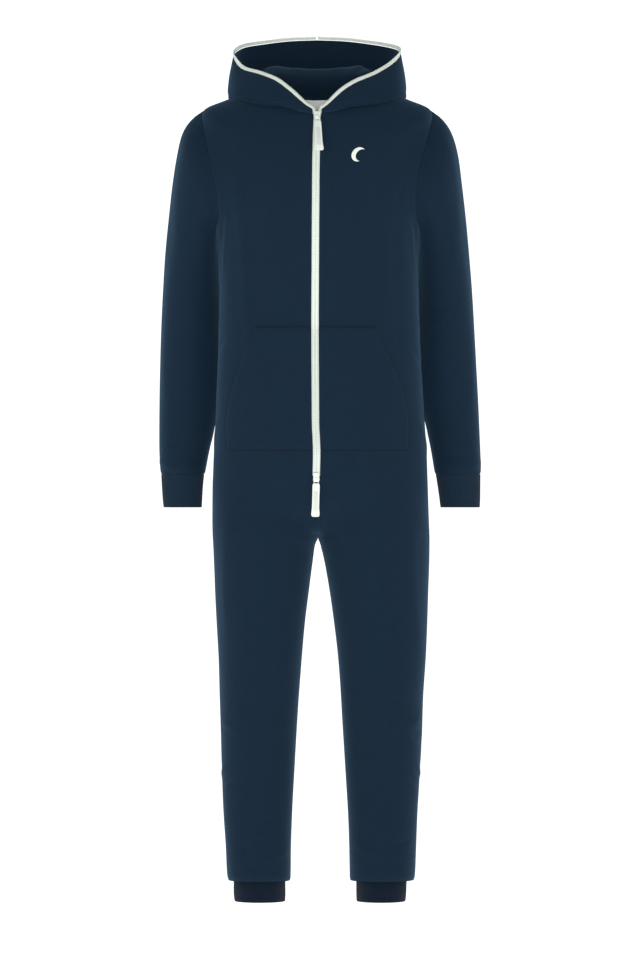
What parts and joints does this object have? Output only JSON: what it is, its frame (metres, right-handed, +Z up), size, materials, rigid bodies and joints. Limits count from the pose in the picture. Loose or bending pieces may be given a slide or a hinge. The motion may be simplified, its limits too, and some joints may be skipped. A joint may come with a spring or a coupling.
{
  "type": "hooded onesie pajama",
  "caption": "Hooded one-piece pajama in sweat-cloth with a full-length two-way zip round the hood edge, kangaroo pocket and rib cuffs, filled out but hollow.",
  "frame": {"origin": "middle of the neck at the height of the shoulders' high points, where the wearer holds the garment up", "axes": "+Z up, +X to the wearer's left, -Y out of the front"},
  "size_m": [0.5821, 0.2929, 1.5734],
  "materials": {
    "sweat_cloth": "navy brushed sweat-cloth, matt with a soft nap",
    "rib": "navy rib knit",
    "zip_tape": "off-white woven tape with moulded teeth",
    "zip_hard": "off-white coated slider and tab",
    "puller": "off-white moulded soft plastic",
    "label": "plain white woven label"
  },
  "bodies": {
    "garment": {"front_left": "sweat_cloth", "front_right": "sweat_cloth", "back_left": "sweat_cloth", "back_right": "sweat_cloth", "pocket_left": "sweat_cloth", "pocket_right": "sweat_cloth", "sleeve_left": "sweat_cloth", "sleeve_right": "sweat_cloth", "hood_left": "sweat_cloth", "hood_right": "sweat_cloth", "cuff_left": "rib", "cuff_right": "rib", "ankle_cuff_left": "rib", "ankle_cuff_right": "rib", "zip_tape_left": "zip_tape", "zip_tape_right": "zip_tape", "slider_upper": "zip_hard", "slider_lower": "zip_hard", "neck_label": "label"},
    "upper_pull": {"pull_tab_upper": "zip_hard", "puller_upper": "puller"},
    "lower_pull": {"pull_tab_lower": "zip_hard", "puller_lower": "puller"}
  },
  "joints": [
    {"name": "upper_pull_hinge", "type": "hinge", "parent": "garment", "child": "upper_pull", "pos_m": [0.00029, -0.09814, -0.06067], "axis": [-0.9976, 0, -0.0698], "range_deg": [0, 100]},
    {"name": "lower_pull_hinge", "type": "hinge", "parent": "garment", "child": "lower_pull", "pos_m": [-0.00117, -0.11839, -0.70834], "axis": [-0.9997, 0, 0.0262], "range_deg": [0, 100]}
  ]
}
